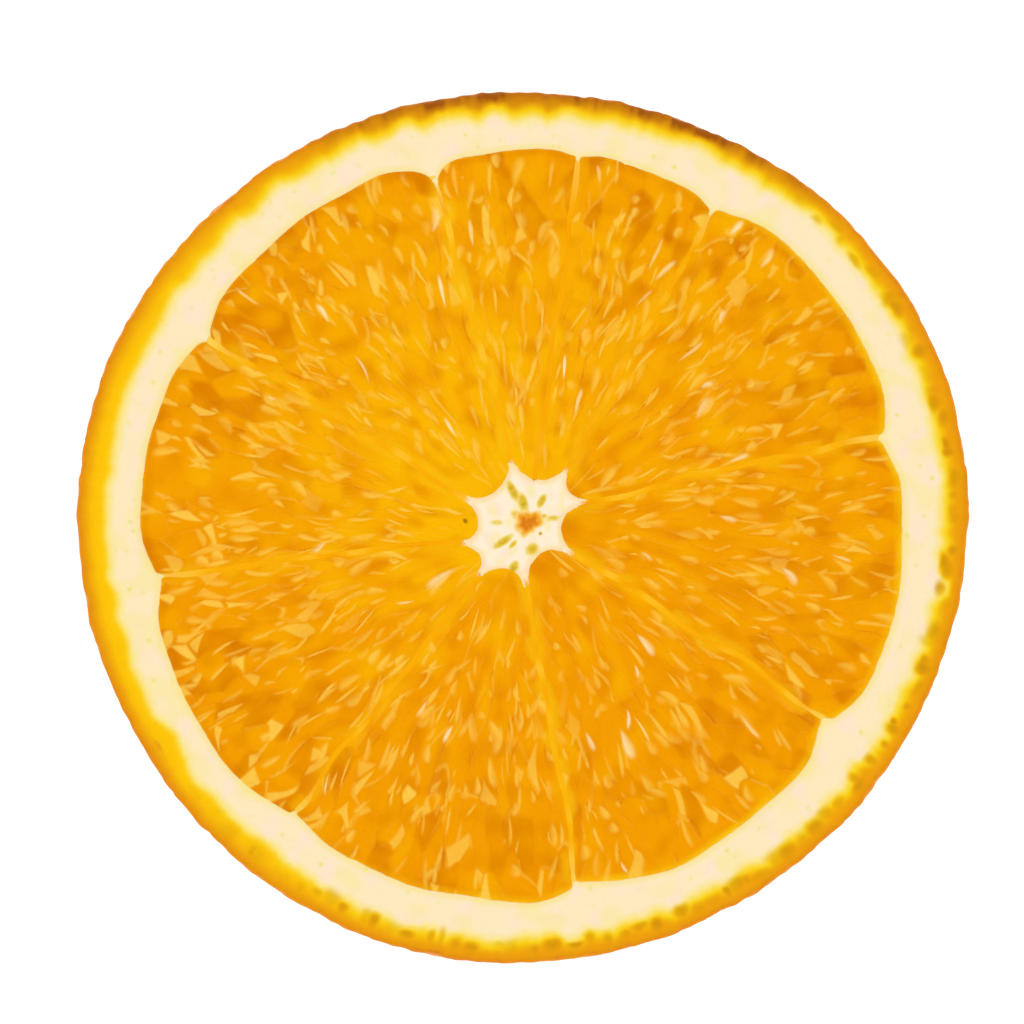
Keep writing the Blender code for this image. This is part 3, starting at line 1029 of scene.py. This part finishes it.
def placeCore(unit):
    # The square grid becomes a disc whose edge lies under the pulp.
    x, y = unit[:, 0], unit[:, 1]
    flat = np.stack([x * np.sqrt(1 - y * y / 2), y * np.sqrt(1 - x * x / 2)], 1) * core["radius"]
    inPulp = depthInPulp(flat)
    widened = depthInPulp(flat, 0.3 * mm)
    inSlit = ease(-0.04 * mm, 0.06 * mm, widened) * ease(0.05 * mm, 0.2 * mm, widened - inPulp - 0.09 * mm)
    spots = vesselsAt(flat)
    away = flat - core["hollow"]
    turn = np.arctan2(away[:, 1], away[:, 0])
    reach = core["hollowRadius"] * (1 + 0.16 * np.cos(2 * turn - 0.5) + 0.14 * np.cos(3 * turn - 0.6)
                                    + 0.08 * np.cos(7 * turn + 1.0))
    hollow = fadedTo(np.hypot(*away.T) / reach, 0.2, 1.4)
    level = whole["top"] - core["level"] + ripple(flat, 1.3 * mm, 73) * 0.035 * mm
    level -= spots * 0.08 * mm + hollow * 0.25 * mm
    level -= 0.4 * mm * inSlit + 2.0 * mm * ease(0.2 * mm, 0.6 * mm, inPulp)
    paint = {
        "spots": spots,
        "hollow": hollow,
        "pink": ease(-0.2, 1.2, ripple(flat, 2.4 * mm, 74)),
        "green": ease(0.1, 1.3, ripple(flat, 2.0 * mm, 75)),
        "fringe": fadedTo(-inPulp, 0, 0.5 * mm),
    }
    return raised(flat, level, unit[:, 2] < -0.5), paint


def makeCoreFinish():
    finish = Finish("orange_core")
    fine = finish.grain(0.22 * mm)
    spots, hollow = (finish.painted(name) * (0.4 + fine * 1.2) for name in ("spots", "hollow"))
    colour = finish.coats(tint(*core["white"]), core, (
        ("pink", 0.5 + fine * 0.6, "pink"),
        ("green", 0.8, "green"),
        ("fringe", 0.6, "fringe"),
        (finish.band(spots, 0.02, 0.3), 1, "halo"),
        (finish.band(spots, 0.22, 0.6), 1, "olive"),
        (finish.band(spots, 0.55, 1.05), 1, "deepOlive"),
        (finish.band(hollow, 0.02, 0.3), 1, "hollowHalo"),
        (finish.band(hollow, 0.25, 0.6), 1, "hollowColour"),
        (finish.band(hollow, 0.6, 1.0), 1, "hollowMiddle"),
    ))
    return finish.surface(colour, 0.5 + fine * 0.15, fine, 0.05 * mm, core["gloss"])


def placeMembrane(before, after, show, seed):
    # It runs between two neighbouring segments, from the tip of the core to the pith, and
    # reaches a little under both.
    def corner(segment, side, reach):
        return segment["apex"] + aimed(reach, segment["facing"] + side * segment["half"])

    shared = before is segments[fruit["sharedLobe"][0] - 1]
    back = (0.05 if shared else 0.9) * mm
    sides = ((before, 1), (after, -1))
    start = sum(corner(segment, side, innerReach(segment, side * segment["half"]) - back)
                for segment, side in sides) / 2
    end = sum(corner(segment, side, segment["arc"][-1 if side > 0 else 0] - 0.1 * mm)
              for segment, side in sides) / 2

    length = np.hypot(*(end - start))
    aside = np.array([end[1] - start[1], start[0] - end[0]]) / length

    def place(unit):
        share = (unit[:, 1] + 1) / 2
        line = start + (end - start) * share[:, None]
        flat = line + aside * (unit[:, 0] * membrane["width"] / 2)[:, None]
        inPulp = depthInPulp(flat)
        swell = ripple(flat, 4 * mm, seed + 1)
        tips = np.maximum(fadedTo(share, 0.0, 0.015), fadedTo(1 - share, 0.0, 0.02))
        level = whole["top"] - (0.125 - 0.015 * swell + 0.08 * tips) * mm
        level -= 0.14 * mm * ease(0.12 * mm, 0.32 * mm, inPulp)
        pale = ease(0.84, 1.0, share) * (0.35 + 0.6 * show) + 0.25 * show * ease(0.2, 1.4, swell)
        paint = {
            "tone": np.clip(show * (0.7 + 0.5 * swell), 0, 1),
            "pale": np.clip(pale, 0, 1),
            "white": fadedTo(share * length, 0.2 * mm, 1.3 * mm) * (not shared),
        }
        return raised(flat, level, unit[:, 2] < -0.5), paint
    return place


def makeMembraneFinish():
    finish = Finish("orange_membrane")
    fine = finish.grain(0.3 * mm)
    colour = finish.coats(tint(*membrane["orange"]), membrane, (
        ("tone", 0.6 + fine * 0.6, "yellow"),
        ("pale", 0.6 + fine * 0.6, "pale"),
        ("white", 1, "white"),
    ))
    return finish.surface(colour, 0.3 + fine * 0.15, fine, 0.03 * mm, membrane["gloss"])


print("core and membranes")
makePiece("core", pillow(core["grid"], core["grid"], 5), placeCore, makeCoreFinish(), ["core"])
membraneFinish = makeMembraneFinish()
for number in range(segmentCount):
    show = membrane["shows"][number]
    place = placeMembrane(segments[number - 1], segments[number], show, 80 + 3 * number)
    makePiece(f"membrane_{number + 1}", pillow(membrane["across"], membrane["along"], 2), place,
              membraneFinish, ["core"])


def makeFloor():
    shape = bmesh.new()
    bmesh.ops.create_grid(shape, x_segments=1, y_segments=1, size=studio["floorSize"] / 2)
    bmesh.ops.translate(shape, verts=shape.verts, vec=(0, 0, -studio["floorDrop"]))
    mesh = bpy.data.meshes.new("floor")
    shape.to_mesh(mesh)
    shape.free()
    finish = Finish("pale_floor")
    tone = studio["floorTone"]
    speckle = finish.grain(3 * mm)
    colour = finish.blend(speckle * 0.1, (tone, tone, tone, 1), (tone * 0.97, tone * 0.97, tone * 0.96, 1))
    glow = {"Emission Color": (1, 1, 1, 1), "Emission Strength": studio["floorGlow"]}
    mesh.materials.append(finish.surface(colour, 0.8, speckle, 0.01 * mm, studio["floorGloss"], glow))
    shown("floor", mesh)


def makeLights():
    for number in range(studio["keys"]):
        turn = 2 * math.pi * (number + 0.5) / studio["keys"]
        place = Vector((math.cos(turn) * studio["keyDistance"], math.sin(turn) * studio["keyDistance"],
                        studio["keyHeight"]))
        light = bpy.data.lights.new("key", "AREA")
        light.size = studio["keySize"]
        light.energy = studio["keyWatts"]
        lamp = shown("key", light)
        lamp.location = place
        lamp.rotation_euler = (place - Vector((0, 0, 0.02))).to_track_quat("Z", "Y").to_euler()


def makeSky():
    world = bpy.data.worlds.new("studio")
    bpy.context.scene.world = world
    finish = Finish("studio", world)
    around = finish.node("ShaderNodeTexCoord", {}, {})
    height = finish.node("ShaderNodeSeparateXYZ", {}, {0: around}, output=2)
    glow = finish.node("ShaderNodeMapRange", {}, {"Value": height, "From Min": 0.15, "From Max": 0.85,
                                                  "To Min": studio["horizon"], "To Max": studio["zenith"]})
    back = finish.node("ShaderNodeBackground", {}, {"Strength": glow})
    finish.node("ShaderNodeOutputWorld", {}, {"Surface": back})


def makeCamera():
    camera = bpy.data.cameras.new("camera")
    camera.lens = studio["lens"]
    away = studio["lens"] / camera.sensor_width * studio["frameWidth"]
    stand = shown("camera", camera)
    stand.location = (*studio["cameraAside"], whole["top"] + away)
    bpy.context.scene.camera = stand


print("studio")
makeFloor()
makeLights()
makeSky()
makeCamera()
bpy.context.scene.view_settings.view_transform = "Standard"
